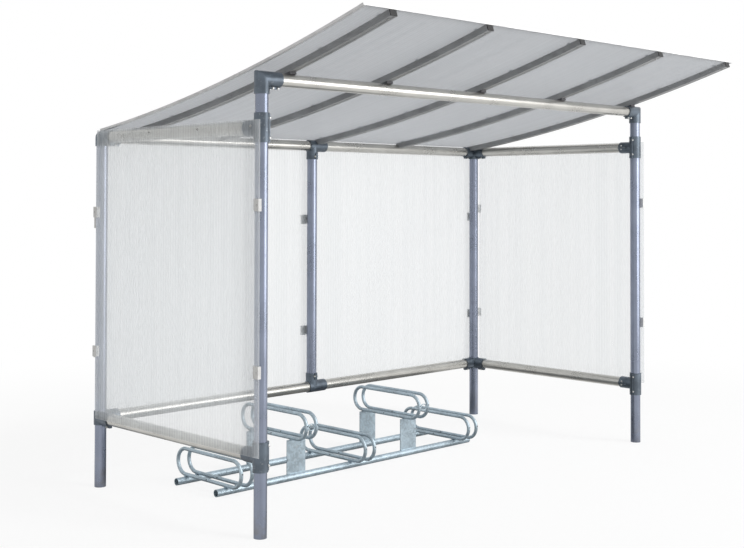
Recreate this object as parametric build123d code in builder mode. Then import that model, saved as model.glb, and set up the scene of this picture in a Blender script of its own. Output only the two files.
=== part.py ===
from build123d import *
from math import asin, atan2, cos, hypot, pi, sin
import os

# A free-standing bike shelter: a frame of round tubes held by bolted clamp
# fittings, multiwall sheets on three sides, a curved sheet roof on five
# rafters, and a five-place wheel rack on the floor.
# Millimetres, +Z up. The origin is on the ground in the middle of the outline,
# X runs along the open front and +Y points to the back.

# Frame
frame_width = 3000.0
frame_depth = 1320.0
tube_diameter = 60.0
tube_wall = 3.0
beam_height = 2050.0
rail_drop = 220.0
middle_post_from_left = 1480.0
foot_plug_thickness = 8.0
fit_clearance = 0.3

# Clamp fittings
sleeve_wall = 5.2
tee_sleeve_length = 134.0
elbow_drop = 68.0
socket_reach = 100.0
middle_socket_reach = 82.0
corner_skirt = 46.0
ear_length = 9.0
ear_thickness = 14.0
ear_corner = 3.0
clamp_gap = 2.0
tube_end_gap = 6.0

# Roof
roof_front_overhang = 670.0
roof_rear_overhang = 10.0
roof_side_overhang = 5.0
roof_thickness = 10.0
roof_radius = 11150.0
sheet_joint = 2.0
rafter_count = 5
rafter_width = 40.0
rafter_height = 30.0
rafter_wall = 2.0
rafter_setback = 12.0
groove_depth = 1.0
side_groove_width = 5.0
under_groove_width = 12.0
first_rafter_from_left = 165.0
last_rafter_from_right = 56.0
left_bay_width = 632.0
saddle_length = 44.0
saddle_skirt = 12.0
cap_thickness = 4.0
strip_wall = 2.0
strip_depth = 22.0

# Side and back sheets
panel_thickness = 10.0
panel_height = 1502.0
panel_top_over_rail = 35.0
panel_bottom_over_rail = 3.0
panel_joint = 4.0
side_panel_lead = 35.0
side_panel_stop = 20.0
clip_height = 56.0
clip_thickness = 3.0
front_clip_grip = 30.0
front_clip_leg = 12.0
rear_clip_grip = 7.0
rear_clip_tab = 25.0
back_clip_grip = 14.0
back_clip_tab = 16.0
joint_clip_width = 100.0
front_clip_drops = (382.0, 1125.0)
rear_clip_drops = (428.0, 1153.0)
back_clip_drops = (485.0, 1165.0)

# Wheel rack
place_count = 5
rack_pitch = 435.0
rack_first_place = 395.0
rack_tube_diameter = 38.0
rack_tube_wall = 3.0
rack_tube_spacing = 341.0
rack_front_tube = 714.0
rack_end_overhang = 65.0
loop_tube_diameter = 20.0
loop_tube_sides = 8
loop_bend_steps = 6
loop_length = 540.0
loop_height = 135.0
loop_spacing = 70.0
loop_front = 590.0
upright_width = 130.0
upright_thickness = 5.0
upright_height = 182.0

# Worked out from the sizes above
tube_radius = tube_diameter / 2
bore_radius = tube_radius + fit_clearance
sleeve_radius = bore_radius + sleeve_wall
panel_stand_off = sleeve_radius + fit_clearance
clip_reach = panel_stand_off + panel_thickness + fit_clearance + clip_thickness
rail_height = beam_height - rail_drop
panel_top = rail_height + panel_top_over_rail
low_rail_height = panel_top - panel_height - panel_bottom_over_rail
outline_depth = roof_front_overhang + frame_depth + clip_reach
front_y = roof_front_overhang - outline_depth / 2
back_y = front_y + frame_depth
left_x = -frame_width / 2
right_x = frame_width / 2
middle_x = left_x + middle_post_from_left
tube_start = tube_radius + tube_end_gap
loop_radius = loop_height / 2
loop_tube_radius = loop_tube_diameter / 2

# The first bay is narrow and the others share the rest of the width.
second_rafter = left_x + first_rafter_from_left + left_bay_width
bay_width = (right_x - last_rafter_from_right - second_rafter) / (rafter_count - 2)
later_rafters = [second_rafter + bay_width * bay for bay in range(rafter_count - 1)]
rafter_xs = [left_x + first_rafter_from_left] + later_rafters

# The roof is one shallow curve. It is measured along the curve from over the
# back rail's axis, and in height over that axis. Its slope at the back rail is
# the one at which the rafters clear the sleeves on the front beam.
sheet_underside = sleeve_radius + fit_clearance
rafter_underside = sheet_underside - rafter_height
lift_over_beam = rafter_height + fit_clearance
rail_to_beam = hypot(rail_drop, frame_depth)
curve_drop = (rail_to_beam**2 - lift_over_beam**2) / (2 * roof_radius)
roof_slope = atan2(rail_drop, frame_depth) + asin((lift_over_beam - curve_drop) / rail_to_beam)
roof_centre_y = back_y + roof_radius * sin(roof_slope)
roof_centre_z = rail_height + roof_radius * cos(roof_slope)
front_edge = front_y - roof_front_overhang

# Directions
up = (0, 0, 1)
down = (0, 0, -1)
back = (0, 1, 0)
front = (0, -1, 0)
left = (-1, 0, 0)
right = (1, 0, 0)

os.makedirs("parts", exist_ok=True)


def save(part, label):
    """Label a finished piece and write it as its own file."""
    part.label = label
    export_step(part, f"parts/{label}.step")


def tube(start, end, diameter=tube_diameter, wall=tube_wall, plug=0.0):
    """A straight round tube, with an optional plug in its first end."""
    run = Vector(*end) - Vector(*start)
    across = Plane(origin=start, z_dir=run)
    with BuildPart() as pipe:
        with BuildSketch(across):
            Circle(diameter / 2)
            Circle(diameter / 2 - wall, mode=Mode.SUBTRACT)
        extrude(amount=run.length)
        if plug:
            with BuildSketch(across):
                Circle(diameter / 2 - wall)
            extrude(amount=plug)
    return pipe.part


def clamp_ear(centre, along, start, end, side):
    """The pair of flanges that stand out from a sleeve and carry its bolts."""
    side = Vector(*side)
    root = bore_radius + sleeve_wall / 2
    tip = sleeve_radius + ear_length
    with BuildPart() as ear:
        with BuildSketch(Plane(origin=centre, x_dir=side, z_dir=side.cross(along)).offset(-ear_thickness / 2)):
            with Locations(((root + tip) / 2, (start + end) / 2)):
                Rectangle(tip - root, end - start)
            chamfer(vertices().group_by(Axis.X)[-1], ear_corner)
        extrude(amount=ear_thickness)
    return ear.part


def clamp_slot(centre, along, start, end, side):
    """The gap that lets a sleeve close on its tube, from the bore out through the ear."""
    side = Vector(*side)
    tip = sleeve_radius + ear_length
    with BuildPart() as slot:
        with BuildSketch(Plane(origin=centre, x_dir=side, z_dir=side.cross(along)).offset(-clamp_gap / 2)):
            with Locations((tip / 2, (start + end) / 2)):
                Rectangle(tip, end - start)
        extrude(amount=clamp_gap)
    return slot.part


def clamp_fitting(centre, runs, domed=False):
    """Sleeves along the given runs, bored for the tubes.

    Each run is a direction, the distances from the centre at which its sleeve
    starts and ends, and the direction in which its bolted ear stands out. The
    ear of a sleeve that starts at the centre begins clear of the corner. A
    domed fitting is closed round its corner.
    """
    centre = Vector(*centre)
    clear_of_corner = sleeve_radius + ear_length
    with BuildPart() as fitting:
        if domed:
            with Locations(centre):
                Sphere(sleeve_radius)
        for direction, start, end, ear_side in runs:
            along = Vector(*direction)
            with BuildSketch(Plane(origin=centre + along * start, z_dir=along)):
                Circle(sleeve_radius)
            extrude(amount=end - start)
            if ear_side:
                add(clamp_ear(centre, along, start or clear_of_corner, end, ear_side))
        for direction, start, end, ear_side in runs:
            along = Vector(*direction)
            with BuildSketch(Plane(origin=centre + along * start, z_dir=along)):
                Circle(bore_radius)
            extrude(amount=end - start, mode=Mode.SUBTRACT)
            if ear_side:
                add(clamp_slot(centre, along, start or clear_of_corner, end, ear_side), mode=Mode.SUBTRACT)
    return fitting.part


def mitred_bar(centre, side, radius):
    """A solid bent bar: down from the centre and sideways from it, cut on the mitre."""
    with BuildPart() as bar:
        with BuildLine() as bend:
            Polyline(
                centre - Vector(0, 0, elbow_drop),
                centre,
                centre + Vector(side * socket_reach, 0, 0),
            )
        with BuildSketch(Plane(origin=centre - Vector(0, 0, elbow_drop))):
            Circle(radius)
        sweep(path=bend.wires()[0], transition=Transition.RIGHT)
    return bar.part


def front_elbow(x, side):
    """The mitred fitting where a front post turns into the beam."""
    centre = Vector(x, front_y, beam_height)
    socket_ear = (centre, Vector(side, 0, 0), sleeve_radius + ear_length, socket_reach, down)
    with BuildPart() as elbow:
        add(mitred_bar(centre, side, sleeve_radius))
        add(clamp_ear(*socket_ear))
        add(mitred_bar(centre, side, bore_radius), mode=Mode.SUBTRACT)
        add(clamp_slot(*socket_ear), mode=Mode.SUBTRACT)
    return elbow.part


def roof_point(along, height):
    """A point in the side view: a distance along the curve, and a height over the rail's axis."""
    turned = roof_slope + along / roof_radius
    reach = roof_radius - height
    return (roof_centre_y - reach * sin(turned), roof_centre_z - reach * cos(turned))


def roof_length_to(y, height):
    """How far along the curve the roof comes to a given depth."""
    return roof_radius * (asin((roof_centre_y - y) / (roof_radius - height)) - roof_slope)


def roof_band(low, high, rear, front, x_start, x_end):
    """A strip of the roof between two heights, two lengths and two sides."""
    with BuildPart() as band:
        with BuildSketch(Plane.YZ.offset(x_start)):
            with BuildLine():
                for height in (low, high):
                    ThreePointArc(
                        roof_point(rear, height),
                        roof_point((rear + front) / 2, height),
                        roof_point(front, height),
                    )
                Line(roof_point(rear, low), roof_point(rear, high))
                Line(roof_point(front, low), roof_point(front, high))
            make_face()
        extrude(amount=x_end - x_start)
    return band.part


def cross_bar(y, z, radius, x_start, x_end):
    """A solid round bar along X, used to cut seats for rails."""
    with BuildPart() as bar:
        with BuildSketch(Plane(origin=(x_start, y, z), z_dir=(1, 0, 0))):
            Circle(radius)
        extrude(amount=x_end - x_start)
    return bar.part


roof_front = roof_length_to(front_edge, rafter_underside)
rafter_front = roof_front - cap_thickness


def rafter(x):
    """A hollow grooved rafter, coped at its rear end over the back rail or the fitting there."""
    on_fitting = min(abs(x - post) for post in (left_x, middle_x, right_x)) < socket_reach + rafter_width / 2
    seat_radius = (sleeve_radius if on_fitting else tube_radius) + fit_clearance
    low_side = x - rafter_width / 2
    high_side = x + rafter_width / 2
    ends = (rafter_setback, rafter_front)
    groove_low = rafter_underside + (rafter_height - side_groove_width) / 2
    groove_high = groove_low + side_groove_width
    with BuildPart() as profile:
        add(roof_band(rafter_underside, sheet_underside, *ends, low_side, high_side))
        hollow = roof_band(
            rafter_underside + rafter_wall,
            sheet_underside - rafter_wall,
            *ends,
            low_side + rafter_wall,
            high_side - rafter_wall,
        )
        left_groove = roof_band(groove_low, groove_high, *ends, low_side, low_side + groove_depth)
        right_groove = roof_band(groove_low, groove_high, *ends, high_side - groove_depth, high_side)
        under_groove = roof_band(
            rafter_underside,
            rafter_underside + groove_depth,
            *ends,
            x - under_groove_width / 2,
            x + under_groove_width / 2,
        )
        seat = cross_bar(back_y, rail_height, seat_radius, low_side, high_side)
        add([hollow, left_groove, right_groove, under_groove, seat], mode=Mode.SUBTRACT)
    return profile.part


def rafter_saddle(x):
    """The packing block that seats a rafter on the front beam or on its corner fitting."""
    on_fitting = min(abs(x - post) for post in (left_x, right_x)) < socket_reach + rafter_width / 2
    seat_radius = (sleeve_radius if on_fitting else tube_radius) + fit_clearance
    low_side = x - rafter_width / 2
    high_side = x + rafter_width / 2
    over_beam = roof_length_to(front_y, rafter_underside)
    with BuildPart() as block:
        add(
            roof_band(
                rafter_underside - saddle_skirt,
                rafter_underside,
                over_beam - saddle_length / 2,
                over_beam + saddle_length / 2,
                low_side,
                high_side,
            )
        )
        add(cross_bar(front_y, beam_height, seat_radius, low_side, high_side), mode=Mode.SUBTRACT)
    return block.part


def clip_block(post, outward, away, height, outline):
    """A clip of a given outline, seen along a post, with the post's tube cut out of it.

    Each corner of the outline is two distances from the post's axis: away past
    the panel's edge, and outward.
    """
    facing = Plane(origin=(post[0], post[1], height - clip_height / 2), x_dir=away, z_dir=(0, 0, 1))
    side = 1 if facing.y_dir.dot(Vector(*outward)) > 0 else -1
    with BuildPart() as clip:
        with BuildSketch(facing):
            with BuildLine():
                Polyline(*[(across, side * out) for across, out in outline], close=True)
            make_face()
            Circle(bore_radius, mode=Mode.SUBTRACT)
        extrude(amount=clip_height)
    return clip.part


def panel_clip(post, outward, away, height, edge, grip, tab):
    """A clip on a post with a lip over the upright edge of a panel.

    The edge is measured past the post's axis. The lip grips the panel and the
    tab goes on past its edge.
    """
    lip = panel_stand_off + panel_thickness + fit_clearance
    outline = [
        (edge + fit_clearance, 0),
        (edge + tab, 0),
        (edge + tab, lip + clip_thickness),
        (edge - grip, lip + clip_thickness),
        (edge - grip, lip),
        (edge + fit_clearance, lip),
    ]
    return clip_block(post, outward, away, height, outline)


def front_clip(post, outward, height):
    """The clip that wraps the front edge of a side panel, its inner leg against the post."""
    lip = panel_stand_off + panel_thickness + fit_clearance
    leg = panel_stand_off - fit_clearance
    web = side_panel_lead + fit_clearance
    outline = [
        (-front_clip_leg, bore_radius),
        (web + clip_thickness, bore_radius),
        (web + clip_thickness, lip + clip_thickness),
        (side_panel_lead - front_clip_grip, lip + clip_thickness),
        (side_panel_lead - front_clip_grip, lip),
        (web, lip),
        (web, leg),
        (-front_clip_leg, leg),
    ]
    return clip_block(post, outward, front, height, outline)


def joint_clip(height):
    """The wide clip behind the middle post, over the edges of both back panels."""
    lip = panel_stand_off + panel_thickness + fit_clearance
    web = panel_joint - 2 * fit_clearance
    with BuildPart() as clip:
        with BuildSketch(Plane(origin=(middle_x, back_y, height - clip_height / 2))):
            with Locations((0, lip / 2)):
                Rectangle(web, lip)
            with Locations((0, lip + clip_thickness / 2)):
                Rectangle(joint_clip_width, clip_thickness)
            Circle(tube_radius + fit_clearance, mode=Mode.SUBTRACT)
        extrude(amount=clip_height)
    return clip.part


def wheel_loop(x, low_z):
    """A closed long loop of bent tube that stands on edge, its round ends in straight steps."""
    front_centre = rack_y + loop_front + loop_radius
    rear_centre = rack_y + loop_front + loop_length - loop_radius
    middle_z = low_z + loop_radius
    corner_radius = loop_radius / cos(pi / (2 * loop_bend_steps))
    corners = [(x, (front_centre + rear_centre) / 2, low_z)]
    for centre, first_angle in ((rear_centre, -pi / 2), (front_centre, pi / 2)):
        for step in range(loop_bend_steps):
            angle = first_angle + pi * (step + 0.5) / loop_bend_steps
            corners.append((x, centre + corner_radius * cos(angle), middle_z + corner_radius * sin(angle)))
    with BuildPart() as loop:
        with BuildLine() as path:
            Polyline(*corners, close=True)
        with BuildSketch(Plane(origin=corners[0], z_dir=(0, 1, 0))):
            RegularPolygon(loop_tube_radius, loop_tube_sides)
        sweep(path=path.wires()[0], transition=Transition.RIGHT)
    return loop.part


def box(x_range, y_range, z_range):
    """A block between two values on each axis."""
    with BuildPart() as block:
        with BuildSketch(Plane.XY.offset(z_range[0])):
            with Locations(((x_range[0] + x_range[1]) / 2, (y_range[0] + y_range[1]) / 2)):
                Rectangle(x_range[1] - x_range[0], y_range[1] - y_range[0])
        extrude(amount=z_range[1] - z_range[0])
    return block.part


def together(pieces):
    """Several pieces that don't touch, as one sub-part."""
    with BuildPart() as group:
        add(pieces)
    return group.part


# Posts
post_top = rail_height - tube_start
for side_name, x in (("left", left_x), ("right", right_x)):
    front_post = tube((x, front_y, 0), (x, front_y, beam_height - tube_start), plug=foot_plug_thickness)
    save(front_post, f"post_front_{side_name}")
    back_post = tube((x, back_y, 0), (x, back_y, post_top), plug=foot_plug_thickness)
    save(back_post, f"post_back_{side_name}")
save(tube((middle_x, back_y, low_rail_height + tube_start), (middle_x, back_y, post_top)), "post_back_middle")

# Rails
rail_left = left_x + tube_start
rail_right = right_x - tube_start
save(tube((rail_left, front_y, beam_height), (rail_right, front_y, beam_height)), "front_beam")
for level_name, z in (("top", rail_height), ("bottom", low_rail_height)):
    save(tube((rail_left, back_y, z), (rail_right, back_y, z)), f"back_{level_name}_rail")
    for side_name, x in (("left", left_x), ("right", right_x)):
        side_rail = tube((x, front_y + tube_start, z), (x, back_y - tube_start, z))
        save(side_rail, f"{side_name}_{level_name}_rail")

# Clamp fittings
half_sleeve = tee_sleeve_length / 2
sides = ((left_x, right), (right_x, left))
save(together([front_elbow(x, inside[0]) for x, inside in sides]), "front_elbows")
for level_name, z in (("upper", rail_height), ("lower", low_rail_height)):
    tees = []
    for x, inside in sides:
        tees.append(
            clamp_fitting(
                (x, front_y, z),
                [(up, -half_sleeve, half_sleeve, inside), (back, 0, socket_reach, inside)],
            )
        )
    save(together(tees), f"front_{level_name}_tees")
top_corners = []
bottom_corners = []
for x, inside in sides:
    sockets = [(inside, 0, socket_reach, down), (front, 0, socket_reach, down)]
    top_corners.append(
        clamp_fitting((x, back_y, rail_height), [(down, 0, corner_skirt, None), *sockets], domed=True)
    )
    bottom_corners.append(
        clamp_fitting((x, back_y, low_rail_height), [(up, -sleeve_radius, sleeve_radius, None), *sockets])
    )
save(together(top_corners), "back_top_corners")
save(together(bottom_corners), "back_bottom_corners")
middle_tees = []
for z, socket_side in ((rail_height, down), (low_rail_height, up)):
    middle_tees.append(
        clamp_fitting(
            (middle_x, back_y, z),
            [
                (right, -sleeve_radius, tee_sleeve_length - sleeve_radius, None),
                (socket_side, 0, middle_socket_reach, front),
            ],
        )
    )
save(together(middle_tees), "back_middle_tees")

# Roof
for number, x in enumerate(rafter_xs, start=1):
    save(rafter(x), f"roof_rafter_{number}")
save(together([rafter_saddle(x) for x in rafter_xs]), "rafter_saddles")
end_caps = []
for x in rafter_xs:
    low_side = x - rafter_width / 2
    high_side = x + rafter_width / 2
    end_caps.append(
        roof_band(
            rafter_underside, sheet_underside - strip_wall, rafter_front, roof_front, low_side, high_side
        )
    )
save(together(end_caps), "rafter_end_caps")
roof_left = left_x - roof_side_overhang
roof_right = right_x + roof_side_overhang
sheet_joints = [roof_left] + rafter_xs[1:-1] + [roof_right]
sheets = []
for low_side, high_side in zip(sheet_joints[:-1], sheet_joints[1:]):
    sheets.append(
        roof_band(
            sheet_underside,
            sheet_underside + roof_thickness,
            -roof_rear_overhang,
            roof_front - strip_wall,
            low_side + sheet_joint / 2,
            high_side - sheet_joint / 2,
        )
    )
save(together(sheets), "roof_sheets")
with BuildPart() as roof_edge_strip:
    add(
        roof_band(
            sheet_underside,
            sheet_underside + roof_thickness + strip_wall,
            roof_front - strip_depth,
            roof_front,
            roof_left,
            roof_right,
        )
    )
    add(
        roof_band(
            sheet_underside,
            sheet_underside + roof_thickness,
            roof_front - strip_depth,
            roof_front - strip_wall,
            roof_left,
            roof_right,
        ),
        mode=Mode.SUBTRACT,
    )
save(roof_edge_strip.part, "roof_edge_strip")

# Side and back sheets
panel_z = (panel_top - panel_height, panel_top)
side_panel_y = (front_y - side_panel_lead, back_y - side_panel_stop)
for side_name, x, outward in (("left", left_x, -1), ("right", right_x, 1)):
    faces = sorted((x + outward * panel_stand_off, x + outward * (panel_stand_off + panel_thickness)))
    save(box(faces, side_panel_y, panel_z), f"{side_name}_panel")
back_faces = (back_y + panel_stand_off, back_y + panel_stand_off + panel_thickness)
save(box((left_x, middle_x - panel_joint / 2), back_faces, panel_z), "back_panel_left")
save(box((middle_x + panel_joint / 2, right_x), back_faces, panel_z), "back_panel_right")

clips = []
for x, outward in ((left_x, left), (right_x, right)):
    corner = (x, back_y)
    for drop in front_clip_drops:
        clips.append(front_clip((x, front_y), outward, panel_top - drop))
    for drop in rear_clip_drops:
        side_clip = (-side_panel_stop, rear_clip_grip, rear_clip_tab)
        clips.append(panel_clip(corner, outward, back, panel_top - drop, *side_clip))
    for drop in back_clip_drops:
        clips.append(panel_clip(corner, back, outward, panel_top - drop, 0, back_clip_grip, back_clip_tab))
for drop in back_clip_drops:
    clips.append(joint_clip(panel_top - drop))
save(together(clips), "panel_clips")

# Wheel rack
rack_y = front_y
rack_left = left_x + rack_first_place - loop_spacing / 2 - rack_end_overhang
rack_right = left_x + rack_first_place + (place_count - 1) * rack_pitch + loop_spacing / 2 + rack_end_overhang
ground_tube_z = rack_tube_diameter / 2
ground_tube_ys = (rack_y + rack_front_tube, rack_y + rack_front_tube + rack_tube_spacing)
ground_tubes = [
    tube((rack_left, y, ground_tube_z), (rack_right, y, ground_tube_z), rack_tube_diameter, rack_tube_wall)
    for y in ground_tube_ys
]
save(together(ground_tubes), "rack_ground_tubes")
uprights = []
for number in range(1, place_count + 1):
    place_x = left_x + rack_first_place + (number - 1) * rack_pitch
    raised = number % 2 == 0
    low_z = rack_tube_diameter + (upright_height if raised else 0) + loop_tube_radius
    loops = [wheel_loop(place_x - loop_spacing / 2, low_z), wheel_loop(place_x + loop_spacing / 2, low_z)]
    save(together(loops), f"rack_loops_{number}")
    if raised:
        for y in ground_tube_ys:
            uprights.append(
                box(
                    (place_x - upright_width / 2, place_x + upright_width / 2),
                    (y - upright_thickness / 2, y + upright_thickness / 2),
                    (rack_tube_diameter, rack_tube_diameter + upright_height),
                )
            )
save(together(uprights), "rack_uprights")
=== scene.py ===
"""The looks of a free-standing tube-frame bike shelter, laid out as a Blender add-on.

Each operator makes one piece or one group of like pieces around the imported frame.
Everything is in metres, in the frame's own axes: +X along the open front, +Y to the
back and +Z up, with the origin on the ground in the middle of the outline.
"""

from math import atan2, cos, pi, radians, sin

import bmesh
import bpy
from mathutils import Matrix, Vector


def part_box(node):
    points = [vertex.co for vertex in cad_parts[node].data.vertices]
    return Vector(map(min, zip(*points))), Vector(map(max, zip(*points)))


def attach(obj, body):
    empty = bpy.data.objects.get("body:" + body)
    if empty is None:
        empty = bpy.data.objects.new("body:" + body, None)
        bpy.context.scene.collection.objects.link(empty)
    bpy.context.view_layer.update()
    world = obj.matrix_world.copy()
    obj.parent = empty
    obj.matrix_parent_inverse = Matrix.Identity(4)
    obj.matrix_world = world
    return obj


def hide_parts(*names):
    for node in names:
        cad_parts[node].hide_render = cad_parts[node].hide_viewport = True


bl_info = {
    "name": "Bike shelter looks",
    "version": (1, 0, 0),
    "blender": (4, 5, 0),
    "location": "3D View > Sidebar > Shelter",
    "description": "Finishes and small hardware of a tube-frame bike shelter",
    "category": "Object",
}

IMAGE_WIDTH = 744
IMAGE_HEIGHT = 548

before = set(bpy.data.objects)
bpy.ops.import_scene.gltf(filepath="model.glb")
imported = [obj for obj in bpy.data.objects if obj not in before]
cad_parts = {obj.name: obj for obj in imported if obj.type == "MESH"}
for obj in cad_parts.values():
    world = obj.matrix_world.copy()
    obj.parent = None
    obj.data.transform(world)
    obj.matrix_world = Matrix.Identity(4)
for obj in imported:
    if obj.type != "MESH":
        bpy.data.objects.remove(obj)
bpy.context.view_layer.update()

UP = Vector((0, 0, 1))
BACK = Vector((0, 1, 0))
RIGHT = Vector((1, 0, 0))


def middle(node):
    """The middle of a CAD node's box."""
    low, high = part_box(node)
    return (low + high) / 2


def span(node):
    """The size of a CAD node's box along each axis."""
    low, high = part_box(node)
    return high - low


LEFT_X = middle("post_front_left").x
RIGHT_X = middle("post_front_right").x
MIDDLE_X = middle("post_back_middle").x
FRONT_Y = middle("post_front_left").y
BACK_Y = middle("post_back_left").y
TOP_RAIL_Z = middle("back_top_rail").z
LOW_RAIL_Z = middle("back_bottom_rail").z
BEAM_Z = middle("front_beam").z
TUBE_RADIUS = span("post_front_left").x / 2
RAFTER_XS = [middle(name).x for name in sorted(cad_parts) if name.startswith("roof_rafter")]
LOOP_PLACES = sorted(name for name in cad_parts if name.startswith("rack_loops"))
WALL_SHEETS = ("left_panel", "right_panel", "back_panel_left", "back_panel_right")

# Places closer than this are the same.
TOUCH = 0.00001

# Edges that turn by less than this are shaded smooth, on machined and on bent pieces.
EDGE_ANGLE = radians(35)
TUBE_ANGLE = radians(60)

# The place of each side's posts, and the way from there into the shelter.
SIDES = ((LEFT_X, RIGHT), (RIGHT_X, -RIGHT))

# How much of the light that falls on a translucent sheet comes out on its other side.
GLOW_THROUGH = 0.5


def length_property(name, description, default, least):
    """A length that a user may change."""
    return bpy.props.FloatProperty(
        name=name, description=description, default=default, min=least, unit="LENGTH"
    )


class ShelterSizes(bpy.types.PropertyGroup):
    """Sizes of the pieces that are added to the frame."""

    flute_pitch: length_property("Flute pitch", "Width of one flute of the multiwall sheets", 0.020, 0.004)
    loop_tube: length_property("Loop tube", "Diameter of the bent tube of the wheel loops", 0.020, 0.005)
    bolt_thread: length_property("Bolt thread", "Diameter of the bolts through the clamp ears", 0.006, 0.003)
    screw_head: length_property("Screw head", "Diameter of the heads of the small screws", 0.012, 0.003)
    vent_hole: length_property("Vent hole", "Diameter of the drain holes in the wheel loops", 0.007, 0.001)


def colour_property(name, description, default):
    """A colour that a user may change."""
    return bpy.props.FloatVectorProperty(
        name=name, description=description, default=default, subtype="COLOR", size=3, min=0.0, max=1.0
    )


class ShelterColours(bpy.types.PropertyGroup):
    """Base colours of the finishes, as linear values."""

    post: colour_property("Posts", "Blue-grey anodised posts", (0.235, 0.262, 0.334))
    rail: colour_property("Rails", "Champagne-grey anodised rails", (0.520, 0.510, 0.480))
    fitting: colour_property("Fittings", "Dark slate clamp fittings", (0.110, 0.135, 0.165))
    rafter: colour_property("Rafters", "Grey extruded rafters", (0.310, 0.315, 0.320))
    cap: colour_property("End caps", "Black moulded caps and dark saddles", (0.012, 0.012, 0.013))
    strip: colour_property("Edge strip", "Bright strip along the roof's edge", (0.900, 0.905, 0.910))
    roof: colour_property("Roof sheets", "Grey translucent roof sheets", (0.500, 0.520, 0.550))
    wall: colour_property("Wall sheets", "Milky wall and side sheets", (0.860, 0.885, 0.900))
    clip: colour_property("Clips", "White moulded clips", (0.800, 0.800, 0.790))
    zinc: colour_property("Galvanised steel", "Hot-dip zinc on the rack", (0.450, 0.540, 0.600))
    bolt: colour_property("Bolts", "Bright plated bolts and screws", (0.560, 0.560, 0.550))


def sizes():
    return bpy.context.scene.shelter_sizes


def colours():
    return bpy.context.scene.shelter_colours


class Socket:
    """A number, colour or vector inside a shader, so that shader maths reads as Python."""

    def __init__(self, shader, output):
        self.shader = shader
        self.output = output

    def maths(self, operation, *values):
        return self.shader.node("Math", {"operation": operation}, dict(enumerate(values)))

    def __add__(self, other):
        return self.maths("ADD", self, other)

    __radd__ = __add__

    def __sub__(self, other):
        return self.maths("SUBTRACT", self, other)

    def __rsub__(self, other):
        return self.maths("SUBTRACT", other, self)

    def __mul__(self, other):
        return self.maths("MULTIPLY", self, other)

    def __pow__(self, other):
        return self.maths("POWER", self, other)

    def __abs__(self):
        return self.maths("ABSOLUTE", self)

    def fraction(self):
        return self.maths("FRACT", self)

    def larger(self, other):
        return self.maths("MAXIMUM", self, other)

    def between(self, low, high):
        """Nought below low, one above high and a smooth rise in between."""
        settings = {"interpolation_type": "SMOOTHSTEP"}
        limits = {"Value": self, "From Min": low, "From Max": high}
        return self.shader.node("MapRange", settings, limits)


class ShaderTree:
    """The nodes of a material or of the world under construction."""

    ray_kinds = ("Camera", "Glossy", "Transmission")

    def __init__(self, tree):
        self.tree = tree
        self.tree.nodes.clear()

    def node(self, kind, settings=None, sockets=None, output=0):
        """Adds a node of a kind, sets its settings, then the values or links of its sockets."""
        made = self.tree.nodes.new("ShaderNode" + kind)
        for name, value in (settings or {}).items():
            setattr(made, name, value)
        for name, value in (sockets or {}).items():
            if isinstance(value, Socket):
                self.tree.links.new(value.output, made.inputs[name])
            else:
                made.inputs[name].default_value = value
        return Socket(self, made.outputs[output]) if made.outputs else None

    def rays(self):
        """One where a ray comes from the camera, from a mirroring surface or through a sheet."""
        return [self.node("LightPath", output=f"Is {kind} Ray") for kind in self.ray_kinds]


class Finish(ShaderTree):
    """A procedural material under construction."""

    def __init__(self, name):
        self.material = bpy.data.materials.new(name)
        self.material.use_nodes = True
        super().__init__(self.material.node_tree)
        self.place = self.node("TexCoord", output="Object")

    def along(self, axis):
        return self.node("SeparateXYZ", {}, {"Vector": self.place}, output=axis)

    def stretched(self, factors):
        """The place, squeezed or stretched by a factor along each axis."""
        return self.node("VectorMath", {"operation": "MULTIPLY"}, {0: self.place, 1: factors})

    def noise(self, scale, detail=2.0, stretch=None):
        place = self.stretched(stretch) if stretch else self.place
        return self.node("TexNoise", {}, {"Vector": place, "Scale": scale, "Detail": detail})

    def cells(self, scale):
        """A pattern of cells, each in a colour of its own."""
        return self.node("TexVoronoi", {}, {"Vector": self.place, "Scale": scale}, "Color")

    def mixed(self, factor, first, second):
        """Two colours mixed by a factor."""
        first, second = (c if isinstance(c, Socket) else (*c, 1.0) for c in (first, second))
        return self.node("Mix", {"data_type": "RGBA"}, {0: factor, 6: first, 7: second}, output=2)

    def clouded(self, clouds, colour, darker, lighter):
        """A colour that varies with clouds between two factors of itself."""
        return self.mixed(clouds.between(0.3, 0.7), shade(colour, darker), shade(colour, lighter))

    def bump(self, height, distance, strength=1.0):
        sockets = {"Height": height, "Distance": distance, "Strength": strength}
        return self.node("Bump", {}, sockets, output="Normal")

    def surface(self, **sockets):
        """Ends the finish with a principled shader. Underscores in the names stand for spaces."""
        inputs = {name.replace("_", " "): value for name, value in sockets.items()}
        return self.output(self.node("BsdfPrincipled", {}, inputs))

    def output(self, shader):
        self.node("OutputMaterial", {}, {"Surface": shader})
        return self.material


def shade(colour, factor):
    """A colour made lighter or darker by a factor."""
    return tuple(min(channel * factor, 1.0) for channel in colour)


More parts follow.
